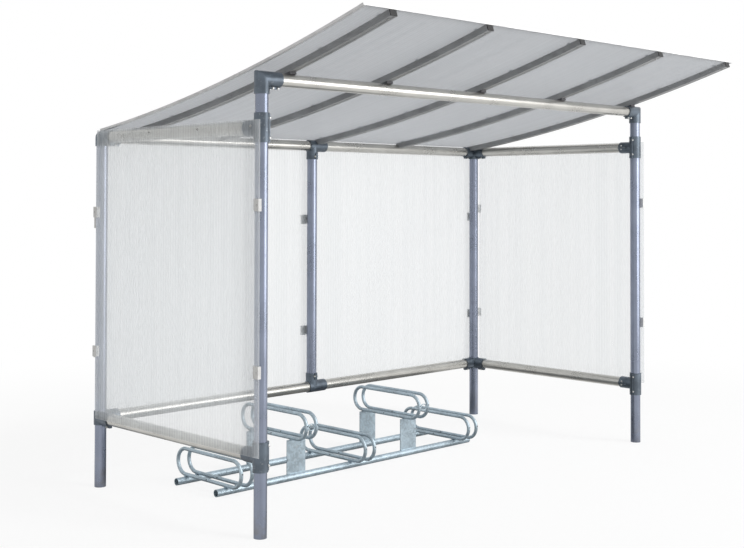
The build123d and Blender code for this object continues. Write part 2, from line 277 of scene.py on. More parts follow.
def drawn_tube_finish(name, colour, axis):
    """Satin anodised tube with the faint lengthwise lines of the die and some handling marks."""
    finish = Finish(name)
    stretch = {"X": (1.5, 220, 220), "Y": (220, 1.5, 220), "Z": (220, 220, 1.5)}[axis]
    lines = finish.noise(1.0, 3.0, stretch)
    clouds = finish.noise(6.0, 3.0)
    marks = finish.noise(38.0, 4.0).between(0.60, 0.72)
    grain = finish.noise(900.0, 1.0)
    body = finish.clouded(clouds, colour, 0.88, 1.10)
    lined = finish.mixed(lines.between(0.35, 0.75) * 0.35, body, shade(colour, 1.35))
    marked = finish.mixed(marks * 0.20, lined, shade(colour, 0.80))
    if axis == "Z":
        splash = (1.0 - finish.along("Z").between(0.0, 0.22)) * finish.noise(24.0, 4.0).between(0.40, 0.68)
        marked = finish.mixed(splash * 0.45, marked, (0.20, 0.18, 0.15))
    height = lines * 0.7 + grain * 0.3
    return finish.surface(
        Base_Color=marked,
        Metallic=0.82,
        Roughness=0.24 + clouds * 0.08 + marks * 0.08,
        Normal=finish.bump(height, 0.0001, 0.3),
    )


def cast_finish(name, colour):
    """Painted cast metal with a faint orange-peel skin, worn a little where it is handled."""
    finish = Finish(name)
    clouds = finish.noise(14.0, 4.0)
    skin = finish.noise(420.0, 2.0)
    worn = finish.noise(75.0, 5.0).between(0.63, 0.70)
    body = finish.clouded(clouds, colour, 0.80, 1.25)
    return finish.surface(
        Base_Color=finish.mixed(worn * 0.5, body, (0.30, 0.32, 0.34)),
        Metallic=0.55 + worn * 0.3,
        Roughness=0.34 + clouds * 0.12,
        Normal=finish.bump(skin * 0.7 + worn * -0.3, 0.0004, 0.5),
    )


def extrusion_finish(name, colour):
    """Mill-finish extruded section with drawing lines along the slope."""
    finish = Finish(name)
    lines = finish.noise(1.0, 3.0, (260, 2.0, 260))
    clouds = finish.noise(9.0, 3.0)
    stain = finish.noise(30.0, 4.0).between(0.58, 0.74)
    body = finish.clouded(clouds, colour, 0.86, 1.12)
    lined = finish.mixed(lines.between(0.35, 0.75) * 0.30, body, shade(colour, 1.45))
    return finish.surface(
        Base_Color=finish.mixed(stain * 0.35, lined, shade(colour, 0.62)),
        Metallic=0.45,
        Roughness=0.36 + clouds * 0.12,
        Normal=finish.bump(lines, 0.0001, 0.6),
    )


def moulded_finish(name, colour, roughness):
    """Moulded plastic with fine spark-eroded grain and dust in its lows."""
    finish = Finish(name)
    grain = finish.noise(1200.0, 2.0)
    clouds = finish.noise(35.0, 3.0)
    dust = finish.noise(140.0, 4.0).between(0.55, 0.75)
    body = finish.clouded(clouds, colour, 0.90, 1.06)
    dusty = tuple(0.75 * channel + 0.25 * 0.45 for channel in colour)
    return finish.surface(
        Base_Color=finish.mixed(dust * 0.35, body, dusty),
        Roughness=roughness + clouds * 0.12 + dust * 0.10,
        Normal=finish.bump(grain, 0.0001, 0.35),
    )


def galvanised_finish(name, colour):
    """Hot-dip zinc: spangled crystals, cloudy patches and small runs."""
    finish = Finish(name)
    spangle = finish.cells(95.0)
    tint = finish.node("SeparateColor", {}, {"Color": spangle}, output=0)
    clouds = finish.noise(7.0, 4.0)
    runs = finish.noise(1.0, 3.0, (60, 60, 12)).between(0.55, 0.72)
    bloom = finish.noise(48.0, 5.0).between(0.58, 0.74)
    body = finish.clouded(clouds, colour, 0.82, 1.15)
    spangled = finish.mixed(tint.between(0.1, 0.9) * 0.40, body, shade(colour, 1.40))
    bloomed = finish.mixed(bloom * 0.35, spangled, (0.70, 0.74, 0.76))
    return finish.surface(
        Base_Color=bloomed,
        Metallic=0.55,
        Roughness=0.34 + tint * 0.16 + bloom * 0.15,
        Normal=finish.bump(runs * 0.6 + tint * 0.3 + finish.noise(260.0, 2.0) * 0.2, 0.0006, 0.5),
    )


def plated_finish(name, colour):
    """Bright zinc-plated steel of bolts, nuts and screws."""
    finish = Finish(name)
    clouds = finish.noise(160.0, 3.0)
    scuffs = finish.noise(700.0, 4.0).between(0.5, 0.7)
    body = finish.clouded(clouds, colour, 0.80, 1.15)
    return finish.surface(
        Base_Color=finish.mixed(scuffs * 0.3, body, shade(colour, 0.55)),
        Metallic=0.85,
        Roughness=0.26 + clouds * 0.18,
        Normal=finish.bump(scuffs, 0.0001, 0.4),
    )


def sheet_finish(name, colour, stretch, alpha, rib_alpha, roughness):
    """Translucent multiwall sheet: ribs between its flutes, and streaks that run with them.

    The sheet's own flute attribute counts the flutes from one side, so whole numbers are ribs.
    """
    finish = Finish(name)
    across = finish.node("Attribute", {"attribute_name": "flute"}, output="Fac")
    from_middle = abs(across.fraction() - 0.5) * 2.0
    rib = from_middle.between(0.70, 0.94)
    streaks = finish.noise(1.0, 3.0, stretch)
    each_flute = finish.node(
        "TexWhiteNoise", {"noise_dimensions": "1D"}, {"W": across.maths("FLOOR", across)}
    )
    clouds = finish.noise(2.4, 3.0)
    dust = finish.noise(60.0, 5.0).between(0.50, 0.80)
    body = finish.clouded(clouds, colour, 0.97, 1.03)
    streaked = finish.mixed(streaks.between(0.3, 0.7) * 0.15, body, shade(colour, 0.96))
    fluted = finish.mixed(each_flute * 0.35, streaked, shade(colour, 0.90))
    ribbed = finish.mixed(rib * 0.60, fluted, shade(colour, 0.74))
    sockets = {
        "Base Color": finish.mixed(dust * 0.10, ribbed, (0.62, 0.61, 0.58)),
        "Roughness": roughness + streaks * 0.06 + dust * 0.10,
        "Normal": finish.bump(dust, 0.0001, 0.3),
    }
    skin = finish.node("BsdfPrincipled", {}, sockets)
    lit_through = finish.node("BsdfTranslucent", {}, {"Color": (*shade(colour, 1.06), 1.0)})
    sheet = finish.node("MixShader", {}, {0: GLOW_THROUGH, 1: skin, 2: lit_through})
    clear = finish.node("BsdfTransparent")
    cover = alpha + rib * (rib_alpha - alpha) + (each_flute - 0.5) * 0.06
    return finish.output(finish.node("MixShader", {}, {0: cover, 1: clear, 2: sheet}))


def deselect():
    bpy.ops.object.select_all(action="DESELECT")


def select(kind, condition):
    """In edit mode, selects the points, edges or faces of the active mesh that meet a condition."""
    bpy.ops.mesh.select_mode(type=kind)
    bpy.ops.mesh.select_all(action="DESELECT")
    mesh = bmesh.from_edit_mesh(bpy.context.active_object.data)
    for element in {"VERT": mesh.verts, "EDGE": mesh.edges, "FACE": mesh.faces}[kind]:
        element.select_set(bool(condition(element)))
    mesh.select_flush_mode()
    bmesh.update_edit_mesh(bpy.context.active_object.data)


def select_all():
    """In edit mode, selects the whole active mesh."""
    bpy.ops.mesh.select_all(action="SELECT")


def edge_runs(edge, axis):
    """Whether an edge runs along an axis, given as 0, 1 or 2."""
    way = edge.verts[1].co - edge.verts[0].co
    return abs(way[axis]) > 0.99 * way.length


def edit():
    bpy.ops.object.mode_set(mode="EDIT")


def boxes_of(node):
    """The boxes of the separate solids in a CAD node, as pairs of lowest and highest corners."""
    mesh = bmesh.new()
    mesh.from_mesh(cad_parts[node].data)
    bmesh.ops.remove_doubles(mesh, verts=mesh.verts, dist=TOUCH)
    waiting = set(mesh.verts)
    boxes = []
    while waiting:
        front = [waiting.pop()]
        places = []
        while front:
            point = front.pop()
            places.append(point.co.copy())
            near = {edge.other_vert(point) for edge in point.link_edges} & waiting
            waiting -= near
            front.extend(near)
        low = Vector([min(place[axis] for place in places) for axis in range(3)])
        high = Vector([max(place[axis] for place in places) for axis in range(3)])
        boxes.append((low, high))
    mesh.free()
    return sorted(boxes, key=lambda box: tuple(box[0]))


def circle_centre(first, second, third):
    """The centre of the circle through three points of a plane."""
    a, b = second - first, third - first
    twice_area = 2 * (a.x * b.y - a.y * b.x)
    across = (b.y * a.length_squared - a.y * b.length_squared) / twice_area
    up = (a.x * b.length_squared - b.x * a.length_squared) / twice_area
    return first + Vector((across, up))


def named(piece, name):
    """Gives a piece and its mesh one name."""
    piece.name = name
    piece.data.name = name
    return piece


def finish_editing(name, smooth_angle=None):
    """Leaves edit mode, brings the place into the mesh and names the piece."""
    piece = bpy.context.active_object
    if piece.mode == "EDIT":
        bpy.ops.object.mode_set(mode="OBJECT")
    bpy.ops.object.transform_apply(location=True, rotation=True, scale=True)
    if smooth_angle is not None:
        bpy.ops.object.shade_smooth_by_angle(angle=smooth_angle)
    return named(piece, name)


def turned(corners, low, radius, height, edge_share):
    """A disc or hexagon along Z from a height up, with its edges turned off."""
    deselect()
    bpy.ops.mesh.primitive_cylinder_add(
        vertices=corners, radius=radius, depth=height, location=(0, 0, low + height / 2)
    )
    edit()
    select_all()
    bpy.ops.mesh.bevel(offset=height * edge_share, segments=2, affect="EDGES")
    return finish_editing("turned", EDGE_ANGLE)


def link(piece):
    """Puts an object into the scene."""
    bpy.context.scene.collection.objects.link(piece)


def ring(centre, rotation, radius, bar_radius, steps, round_steps):
    """A round bar bent into a ring about a centre."""
    deselect()
    bpy.ops.mesh.primitive_torus_add(
        location=centre,
        rotation=rotation,
        major_radius=radius,
        minor_radius=bar_radius,
        major_segments=steps,
        minor_segments=round_steps,
    )


def placed(pattern, matrices):
    """Copies of a pattern mesh at each of the given places."""
    copies = []
    for matrix in matrices:
        twin = pattern.copy()
        twin.data = pattern.data.copy()
        twin.data.transform(matrix)
        link(twin)
        copies.append(twin)
    return copies


def joined(pieces, name):
    """Joins pieces into one, named piece."""
    deselect()
    for piece in pieces:
        piece.select_set(True)
    bpy.context.view_layer.objects.active = pieces[0]
    bpy.ops.object.join()
    deselect()
    return named(pieces[0], name)


def remove(piece):
    bpy.data.objects.remove(piece, do_unlink=True)


def dress(piece, material, slot, *replaced):
    """Gives a new piece its finish and its body, and hides the CAD nodes that it replaces; the slot is not
    used.
    """
    piece.data.materials.clear()
    piece.data.materials.append(material)
    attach(piece, "root")
    if replaced:
        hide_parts(*replaced)
    return piece


def facing(origin, direction):
    """A place at origin whose Z axis points in a direction."""
    turn = Vector(direction).to_track_quat("Z", "Y").to_matrix().to_4x4()
    return Matrix.Translation(origin) @ turn


def paint_node(name, material):
    """Gives a CAD node its finish."""
    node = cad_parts[name]
    node.data.materials.clear()
    node.data.materials.append(material)


class SHELTER_OT_stage(bpy.types.Operator):
    """Make the floor, the light and the camera"""

    bl_idname = "shelter.stage"
    bl_label = "Stage"

    floor_radius = 40.0
    white_from = 2.6
    white_to = 5.5
    # A patch under and around the shelter that the tubes mirror dark: painted shade in their reflections.
    painted_shade_half_width = 1.25
    painted_shade_half_depth = 0.80
    painted_shade_middle_y = 0.60
    painted_shade_fade_width = 0.5
    seen_share = 0.85
    mirrored_share = 0.10
    lit_colour = (0.62, 0.61, 0.59)
    # The colour of the painted shade that the tubes mirror under the shelter.
    painted_shade_colour = (0.10, 0.11, 0.12)
    sun_from = Vector((0.42, -0.90, 0.95))
    sun_strength = 0.8
    sun_softness = radians(14)
    sky_strength = 0.52
    panel_place = Vector((2.6, -5.2, 1.9))
    panel_width = 4.2
    panel_height = 3.4
    panel_power = 165.0
    camera_place = Vector((-4.9076, -4.5129, 1.5255))
    camera_yaw = 0.77807
    camera_pitch = 0.01832
    camera_roll = 0.00196
    focal_pixels = 1195.69
    horizon_pixel = 173.83
    sensor_width = 36.0

    def execute(self, context):
        self.floor()
        self.light()
        self.camera()
        context.scene.view_settings.view_transform = "Standard"
        return {"FINISHED"}

    def floor(self):
        """A floor that is white to the camera, with painted shade under and around the shelter in the tubes'
        reflections of it.
        """
        deselect()
        bpy.ops.mesh.primitive_circle_add(vertices=96, radius=self.floor_radius, fill_type="NGON")
        floor = finish_editing("floor")
        finish = Finish("pale_floor")
        from_camera, mirrored, through = finish.rays()
        seen = from_camera.larger(through)
        distance = finish.node(
            "VectorMath", {"operation": "LENGTH"}, {0: finish.place}, output="Value"
        )
        fade = distance.between(self.white_from, self.white_to)
        # How far a point lies outside the patch of painted shade, across and along; the shade fades out
        # beyond it.
        beside = (abs(finish.along("X")) - self.painted_shade_half_width).larger(0.0)
        before = (abs(finish.along("Y") - self.painted_shade_middle_y) - self.painted_shade_half_depth).larger(0.0)
        painted_shade_fade = ((beside * beside + before * before) ** 0.5).between(0.0, self.painted_shade_fade_width)
        seen_part = seen * (fade * (1.0 - self.seen_share) + self.seen_share)
        mirrored_part = mirrored * (painted_shade_fade * (1.0 - self.mirrored_share) + self.mirrored_share)
        # Rays that the tubes mirror see the painted shade's colour near the shelter; other rays see the lit
        # floor.
        unseen = finish.mixed(mirrored, self.lit_colour, self.painted_shade_colour)
        colour = finish.mixed(seen, unseen, (1.0, 1.0, 1.0))
        lit = finish.node("BsdfDiffuse", {}, {"Color": colour})
        white = finish.node("Emission", {}, {"Color": (1, 1, 1, 1), "Strength": 1.0})
        factor = seen_part.larger(mirrored_part)
        shader = finish.node("MixShader", {}, {0: factor, 1: lit, 2: white})
        floor.data.materials.append(finish.output(shader))

    def light(self):
        """A soft sun, a soft panel that the camera doesn't see, and a sky that it sees as white."""
        self.lamp(
            "key_light", "SUN", (0, 0, 0), self.sun_from, energy=self.sun_strength, angle=self.sun_softness
        )
        size = {"shape": "RECTANGLE", "size": self.panel_width, "size_y": self.panel_height}
        way = self.panel_place - UP
        panel = self.lamp("soft_panel", "AREA", self.panel_place, way, energy=self.panel_power, **size)
        panel.visible_camera = False
        world = bpy.data.worlds.new("studio")
        world.use_nodes = True
        sky = ShaderTree(world.node_tree)
        from_camera, mirrored, through = sky.rays()
        seen = from_camera.larger(mirrored).larger(through)
        strength = seen * (1.0 - self.sky_strength) + self.sky_strength
        background = sky.node("Background", {}, {"Color": (1, 1, 1, 1), "Strength": strength})
        sky.node("OutputWorld", {}, {"Surface": background})
        bpy.context.scene.world = world

    def lamp(self, name, kind, place, back, **settings):
        """A light at a place, with its back turned in a direction."""
        data = bpy.data.lights.new(name, kind)
        for key, value in settings.items():
            setattr(data, key, value)
        lamp = bpy.data.objects.new(name, data)
        lamp.location = place
        lamp.rotation_euler = back.to_track_quat("Z", "Y").to_euler()
        link(lamp)
        return lamp

    def camera(self):
        """The camera as it was solved from the photograph, with its vertical shift."""
        forward = Vector((sin(self.camera_yaw), cos(self.camera_yaw), 0)) * cos(self.camera_pitch)
        forward += UP * sin(self.camera_pitch)
        side = Vector((cos(self.camera_yaw), -sin(self.camera_yaw), 0))
        upward = side.cross(forward)
        turned_side = side * cos(self.camera_roll) + upward * sin(self.camera_roll)
        turned_up = upward * cos(self.camera_roll) - side * sin(self.camera_roll)
        turn = Matrix((turned_side, turned_up, -forward)).transposed()
        data = bpy.data.cameras.new("camera")
        data.sensor_width = self.sensor_width
        data.lens = self.focal_pixels * self.sensor_width / IMAGE_WIDTH
        data.shift_y = (self.horizon_pixel - IMAGE_HEIGHT / 2) / IMAGE_WIDTH
        camera = bpy.data.objects.new("camera", data)
        camera.matrix_world = Matrix.Translation(self.camera_place) @ turn.to_4x4()
        link(camera)
        bpy.context.scene.camera = camera


class SHELTER_OT_frame_finishes(bpy.types.Operator):
    """Give the posts, rails, fittings and rafters their finishes"""

    bl_idname = "shelter.frame_finishes"
    bl_label = "Frame finishes"

    def execute(self, context):
        tint = colours()
        posts = drawn_tube_finish("anodised_post", tint.post, "Z")
        along_x = drawn_tube_finish("anodised_rail_x", tint.rail, "X")
        along_y = drawn_tube_finish("anodised_rail_y", tint.rail, "Y")
        fitting = cast_finish("slate_casting", tint.fitting)
        rafter = extrusion_finish("rafter_section", tint.rafter)
        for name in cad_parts:
            if name.startswith("post_"):
                paint_node(name, posts)
            elif name == "front_beam" or name in ("back_top_rail", "back_bottom_rail"):
                paint_node(name, along_x)
            elif name.endswith("_rail"):
                paint_node(name, along_y)
            elif name.endswith(("_elbows", "_tees", "_corners")):
                paint_node(name, fitting)
            elif name.startswith("roof_rafter"):
                paint_node(name, rafter)
        paint_node("rafter_saddles", moulded_finish("dark_saddle", shade(tint.cap, 7.0), 0.45))
        paint_node("rafter_end_caps", moulded_finish("black_cap", tint.cap, 0.40))
        paint_node("roof_edge_strip", extrusion_finish("bright_strip", tint.strip))
        return {"FINISHED"}


class SHELTER_OT_sheets(bpy.types.Operator):
    """Make the wall, side and roof sheets with their flutes"""

    bl_idname = "shelter.sheets"
    bl_label = "Sheets"

    sink = 0.0007
    columns = 4
    roof_steps = 20
    flutes_apart = 100

    def execute(self, context):
        tint = colours()
        wall = sheet_finish(
            "milky_multiwall_sheet", tint.wall, (40, 40, 1.2), alpha=0.30, rib_alpha=0.42, roughness=0.30
        )
        roof = sheet_finish(
            "grey_roof_sheet", tint.roof, (40, 1.2, 1.2), alpha=0.58, rib_alpha=0.72, roughness=0.42
        )
        for number, name in enumerate(WALL_SHEETS):
            sheet = self.wall_sheet(name, number * self.flutes_apart)
            dress(named(sheet, name + "_fluted"), wall, "wall_sheet", name)
        roof_pieces = [self.roof_sheet(low, high) for low, high in boxes_of("roof_sheets")]
        dress(joined(roof_pieces, "roof_sheets_fluted"), roof, "roof_sheet", "roof_sheets")
        return {"FINISHED"}

    def wall_sheet(self, node, first_flute):
        """An upright sheet in the box of its node, across the shelter or along its side."""
        low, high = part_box(node)
        size = high - low
        if size.x > size.y:
            sheet = self.sheet(size.x, size.y, first_flute, length=size.z)
            sheet.data.transform(Matrix.Translation(low))
            return sheet
        sheet = self.sheet(size.y, size.x, first_flute, length=size.z)
        quarter_turn = Matrix.Rotation(-pi / 2, 4, "Z")
        sheet.data.transform(Matrix.Translation((low.x, high.y, low.z)) @ quarter_turn)
        return sheet

    def roof_sheet(self, low, high):
        arc = RoofArc()
        first = round((high.x - LEFT_X) / sizes().flute_pitch)
        sheet = self.sheet(high.x - low.x, arc.thickness, first, radius=arc.top_radius, angle=arc.angle)
        sheet.data.transform(arc.front_top_frame(low.x))
        return sheet

    def sheet(self, width, thickness, first_flute, length=None, radius=None, angle=None):
        """A fluted sheet with its width along X, its thickness along Y and its flutes along Z.

        The flutes run straight for a length, or round a curve whose centre is on the -Y side.
        """
        count = round(width / sizes().flute_pitch)
        pitch = width / count
        self.flute_outline(pitch, thickness)
        if length:
            bpy.ops.mesh.extrude_region_move(TRANSFORM_OT_translate={"value": (0, 0, length)})
        else:
            bpy.ops.mesh.spin(steps=self.roof_steps, angle=-angle, center=(0, -radius, 0), axis=(1, 0, 0))
        select("FACE", lambda face: self.at_side(face, 0.0) or self.at_side(face, pitch))
        bpy.ops.mesh.delete(type="ONLY_FACE")
        bpy.ops.object.mode_set(mode="OBJECT")
        bpy.ops.object.modifier_add(type="ARRAY")
        array = bpy.context.active_object.modifiers[-1]
        array.count = count
        array.use_relative_offset = False
        array.use_constant_offset = True
        array.constant_offset_displace = (pitch, 0, 0)
        array.use_merge_vertices = True
        array.merge_threshold = TOUCH
        bpy.ops.object.modifier_apply(modifier=array.name)
        edit()
        bpy.ops.mesh.select_mode(type="EDGE")
        bpy.ops.mesh.select_all(action="DESELECT")
        bpy.ops.mesh.select_non_manifold(extend=False, use_wire=False, use_multi_face=False, use_verts=False)
        bpy.ops.mesh.fill_holes(sides=0)
        select_all()
        bpy.ops.mesh.normals_make_consistent(inside=False)
        sheet = finish_editing("sheet", EDGE_ANGLE)
        flute = sheet.data.attributes.new("flute", "FLOAT", "POINT")
        flute.data.foreach_set("value", [first_flute + point.co.x / pitch for point in sheet.data.vertices])
        return sheet

    def at_side(self, face, x):
        """Whether a face lies in the plane at an X."""
        return all(abs(point.co.x - x) < TOUCH for point in face.verts)

    def flute_outline(self, pitch, thickness):
        """One flute's outline as faces, in edit mode: its two skins sink a little at the ribs."""
        deselect()
        bpy.ops.mesh.primitive_plane_add(size=1, location=(pitch / 2, thickness / 2, 0))
        bpy.context.active_object.scale = (pitch, thickness, 1)
        finish_editing("flute")
        edit()
        select("EDGE", lambda edge: edge_runs(edge, 0))
        bpy.ops.mesh.subdivide(number_cuts=self.columns - 1)
        for column in range(self.columns + 1):
            place = pitch * column / self.columns
            depth = self.sink * (1 - sin(pi * column / self.columns))
            for side, way in ((0.0, depth), (thickness, -depth)):
                select("VERT", lambda v: abs(v.co.x - place) < TOUCH and abs(v.co.y - side) < TOUCH)
                bpy.ops.transform.translate(value=(0, way, 0))
        select_all()


class RoofArc:
    """The roof's curve in the side view, from the corners of the CAD sheets."""

    def __init__(self):
        points = [Vector((p.co.y, p.co.z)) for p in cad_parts["roof_sheets"].data.vertices]
        front_low = min(points, key=lambda p: p.x)
        back_low = min(points, key=lambda p: p.y)
        back_high = max(points, key=lambda p: p.x)
        chord = back_low - front_low
        lowest = max(points, key=lambda p: self.sag(p, front_low, chord))
        self.centre = circle_centre(front_low, lowest, back_low)
        self.thickness = (back_high - back_low).length
        self.low_radius = (front_low - self.centre).length
        self.top_radius = self.low_radius - self.thickness
        self.front_turn = self.turn_of(front_low)
        self.angle = self.turn_of(back_low) - self.front_turn

    def sag(self, point, start, chord):
        """How far a point lies under the line between the ends."""
        offset = point - start
        return offset.y * -chord.x + offset.x * chord.y

    def turn_of(self, point):
        offset = point - self.centre
        return atan2(offset.y, offset.x)

    def place(self, x, turn, radius):
        """A point of the roof at a turn about the curve's centre."""
        return Vector((x, self.centre.x + radius * cos(turn), self.centre.y + radius * sin(turn)))

    def front_top_frame(self, x):
        """The place whose X is across the roof, whose -Y looks to the centre and whose Z runs back."""
        outward = Vector((0, cos(self.front_turn), sin(self.front_turn)))
        backward = RIGHT.cross(outward)
        turn = Matrix((RIGHT, outward, backward)).transposed().to_4x4()
        return Matrix.Translation(self.place(x, self.front_turn, self.top_radius)) @ turn

    def surface(self, x, part, radius):
        """A place at a share of the way from the front edge to the back, and the way out there."""
        turn = self.front_turn + self.angle * part
        return self.place(x, turn, radius), Vector((0, cos(turn), sin(turn)))


class SHELTER_OT_wheel_loops(bpy.types.Operator):
    """Make the wheel loops as round bent tubes"""

    bl_idname = "shelter.wheel_loops"
    bl_label = "Wheel loops"

    bend_steps = 48
    round_steps = 16

    def execute(self, context):
        zinc = galvanised_finish("galvanised_steel", colours().zinc)
        for name in LOOP_PLACES:
            pair = [self.loop(name, side) for side in (-1, 1)]
            dress(joined(pair, name + "_tubes"), zinc, "galvanised", name)
        paint_node("rack_ground_tubes", zinc)
        paint_node("rack_uprights", zinc)
        return {"FINISHED"}

    def loop(self, node, side):
        """A ring on edge, whose rear half is drawn back into two straight runs."""
        low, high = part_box(node)
        tube_radius = sizes().loop_tube / 2
        ring_radius = (high.z - low.z) / 2 - tube_radius
        x = high.x - tube_radius if side > 0 else low.x + tube_radius
        centre = Vector((x, low.y + ring_radius + tube_radius, (low.z + high.z) / 2))
        run = (high.y - low.y) - (high.z - low.z)
        ring(centre, (0, pi / 2, 0), ring_radius, tube_radius, self.bend_steps, self.round_steps)
        half_step = pi / self.bend_steps
        turn = Matrix.Rotation(half_step, 4, "Z")
        bpy.context.active_object.data.transform(turn)
        finish_editing("loop")
        edit()
        select("VERT", lambda point: point.co.y > centre.y)
        bpy.ops.transform.translate(value=(0, run, 0))
        return finish_editing("loop", TUBE_ANGLE)


class SHELTER_OT_clamp_bolts(bpy.types.Operator):
    """Make the bolts and nuts through the ears of the clamp fittings"""

    bl_idname = "shelter.clamp_bolts"
    bl_label = "Clamp bolts"

    ear_thickness = 0.014
    ear_middle = 0.0400
    head_height = 0.0055
    washer_height = 0.0016
    hexagon_edge = 0.16
    disc_edge = 0.12
    elbow_reaches = (0.0575, 0.0870)
    tee_rise = 0.045
    rail_reach = 0.075
    middle_reach = 0.065

    def execute(self, context):
        plated = plated_finish("plated_bolts", colours().bolt)
        bolt = self.bolt()
        groups = {
            "front_elbow_bolts": self.elbow_places(),
            "front_tee_bolts": self.tee_places(),
            "back_corner_bolts": self.corner_places(),
            "back_middle_bolts": self.middle_places(),
        }
        for name, places in groups.items():
            dress(joined(placed(bolt, places), name), plated, "fitting")
        remove(bolt)
        return {"FINISHED"}

    def bolt(self):
        """A hexagon bolt through an ear, along Z, with its washers, nut and thread end."""
        thread = sizes().bolt_thread
        head_radius = thread * 0.94
        washer_radius = thread * 1.05
        nut_height = thread * 0.8
        end_height = thread * 0.3
        top = self.ear_thickness / 2
        bottom = -top - self.washer_height
        pieces = [
            turned(6, top + self.washer_height, head_radius, self.head_height, self.hexagon_edge),
            turned(20, top, washer_radius, self.washer_height, self.disc_edge),
            turned(20, bottom, washer_radius, self.washer_height, self.disc_edge),
            turned(6, bottom - nut_height, head_radius, nut_height, self.hexagon_edge),
            turned(20, bottom - nut_height - end_height, thread / 2, end_height, self.disc_edge),
        ]
        return joined(pieces, "bolt")

    def elbow_places(self):
        """Two bolts through the ear under each elbow's socket."""
        places = []
        for x, inward in SIDES:
            socket = Vector((x, FRONT_Y, BEAM_Z)) - UP * self.ear_middle
            places += [facing(socket + inward * reach, -BACK) for reach in self.elbow_reaches]
        return places

    def tee_places(self):
        """Two bolts through the ear on each front post, and one through the rail's."""
        places = []
        for x, inward in SIDES:
            for z in (TOP_RAIL_Z, LOW_RAIL_Z):
                ear = Vector((x, FRONT_Y, z)) + inward * self.ear_middle
                for rise in (self.tee_rise, -self.tee_rise):
                    places.append(facing(ear + UP * rise, -BACK))
                places.append(facing(ear + BACK * self.rail_reach, UP))
        return places

    def corner_places(self):
        """One bolt through each of the two rails' ears at a back corner."""
        places = []
        for x, inward in SIDES:
            for z in (TOP_RAIL_Z, LOW_RAIL_Z):
                ear = Vector((x, BACK_Y, z)) - UP * self.ear_middle
                places.append(facing(ear + inward * self.rail_reach, -BACK))
                places.append(facing(ear - BACK * self.rail_reach, inward))
        return places

    def middle_places(self):
        """One bolt through the middle post's ear, at its top and at its foot."""
        places = []
        for z, way in ((TOP_RAIL_Z, -UP), (LOW_RAIL_Z, UP)):
            ear = Vector((MIDDLE_X, BACK_Y, z)) - BACK * self.ear_middle
            places.append(facing(ear + way * self.middle_reach, RIGHT))
        return places


